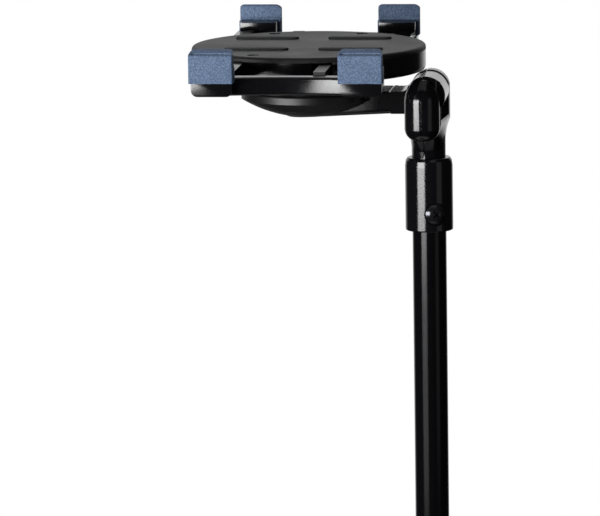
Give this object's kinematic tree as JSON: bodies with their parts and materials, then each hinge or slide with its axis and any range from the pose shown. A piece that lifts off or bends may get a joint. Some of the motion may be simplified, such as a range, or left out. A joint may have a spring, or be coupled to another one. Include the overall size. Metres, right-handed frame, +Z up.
{
  "type": "tablet floor stand",
  "caption": "Floor stand for a tablet: a weighted round foot, a telescopic pole with a lever clamp, a tilting and swivelling arm, and a cradle with soft-sleeved jaws.",
  "frame": {"origin": "centre of the foot's underside, on the axis of the pole", "axes": "+Z up along the pole; -Y towards the front jaws; -X towards the cradle"},
  "size_m": [0.3, 0.3, 1.1165],
  "materials": {
    "mat_rubber": "matt, fine grain",
    "black_steel": "gloss black powder coat",
    "black_moulding": "black moulded plastic with a fine spark-eroded grain",
    "black_screw": "black zinc plated steel",
    "plated_steel": "zinc plated steel",
    "acetal": "natural acetal",
    "blue_sleeve": "slate blue soft elastomer with a sandy satin grain"
  },
  "bodies": {
    "base": {"floor_mat": "mat_rubber", "base_plate": "black_steel", "base_bolt": "plated_steel", "bolt_washer": "plated_steel", "pole_socket": "black_moulding", "socket_screws": "black_screw", "lower_tube": "black_steel", "guide_bush": "acetal", "clamp_body": "black_moulding", "clamp_bolt": "plated_steel", "clamp_nut": "plated_steel", "cam_washer": "plated_steel", "lever_pin": "plated_steel"},
    "lock_lever": {"cam_lever": "black_moulding"},
    "upper_pole": {"upper_tube": "black_steel", "slide_plug": "acetal", "neck_collar": "black_moulding", "collar_screw": "black_screw", "pan_washer": "acetal", "thrust_washer": "plated_steel"},
    "yoke": {"yoke_left": "black_moulding", "yoke_right": "black_moulding", "pan_screw": "plated_steel", "hinge_bolt": "black_screw", "hinge_nut": "plated_steel", "friction_washers": "acetal"},
    "arm": {"arm_shell": "black_moulding", "arm_cover": "black_moulding", "hub_cap": "black_moulding", "hinge_bush": "acetal", "hub_bush": "acetal", "spring_washer": "plated_steel"},
    "cradle": {"cradle_base": "black_moulding", "cradle_cover": "black_moulding", "cradle_screws": "black_screw", "cradle_pads": "mat_rubber", "hub_bolt": "plated_steel", "hub_nut": "plated_steel"},
    "pinion_gear": {"pinion": "acetal"},
    "front_carriage": {"front_bar": "black_moulding", "front_rack": "black_moulding", "front_left_jaw": "black_moulding", "front_right_jaw": "black_moulding", "front_left_pad": "blue_sleeve", "front_right_pad": "blue_sleeve"},
    "rear_carriage": {"rear_bar": "black_moulding", "rear_rack": "black_moulding", "rear_left_jaw": "black_moulding", "rear_right_jaw": "black_moulding", "rear_left_pad": "blue_sleeve", "rear_right_pad": "blue_sleeve"}
  },
  "joints": [
    {"name": "height_slide", "type": "slide", "parent": "base", "child": "upper_pole", "axis": [0, 0, 1], "range_m": [-0.36, 0.06]},
    {"name": "lever_swing", "type": "hinge", "parent": "base", "child": "lock_lever", "pos_m": [0.0215, -0.0165, 0.623], "axis": [0, 0, 1], "range_deg": [0, 150]},
    {"name": "pan", "type": "hinge", "parent": "upper_pole", "child": "yoke", "pos_m": [0, 0, 1.05], "axis": [0, 0, 1], "continuous": true},
    {"name": "tilt", "type": "hinge", "parent": "yoke", "child": "arm", "pos_m": [0, 0, 1.085], "axis": [0, 1, 0], "range_deg": [-10, 80]},
    {"name": "swivel", "type": "hinge", "parent": "arm", "child": "cradle", "pos_m": [-0.056, 0, 1.09], "axis": [0, 0, 1], "continuous": true},
    {"name": "front_slide", "type": "slide", "parent": "cradle", "child": "front_carriage", "axis": [0, -1, 0], "range_m": [-0.024, 0.018]},
    {"name": "rear_slide", "type": "slide", "parent": "cradle", "child": "rear_carriage", "axis": [0, 1, 0], "range_m": [-0.024, 0.018]},
    {"name": "pinion_spin", "type": "hinge", "parent": "cradle", "child": "pinion_gear", "pos_m": [-0.056, 0, 1.102], "axis": [0, 0, 1], "range_deg": [-116, 154]}
  ],
  "couplings": [
    {"joint": "rear_slide", "follows": "front_slide", "ratio": 1},
    {"joint": "pinion_spin", "follows": "front_slide", "rad_per_m": -111.11}
  ]
}
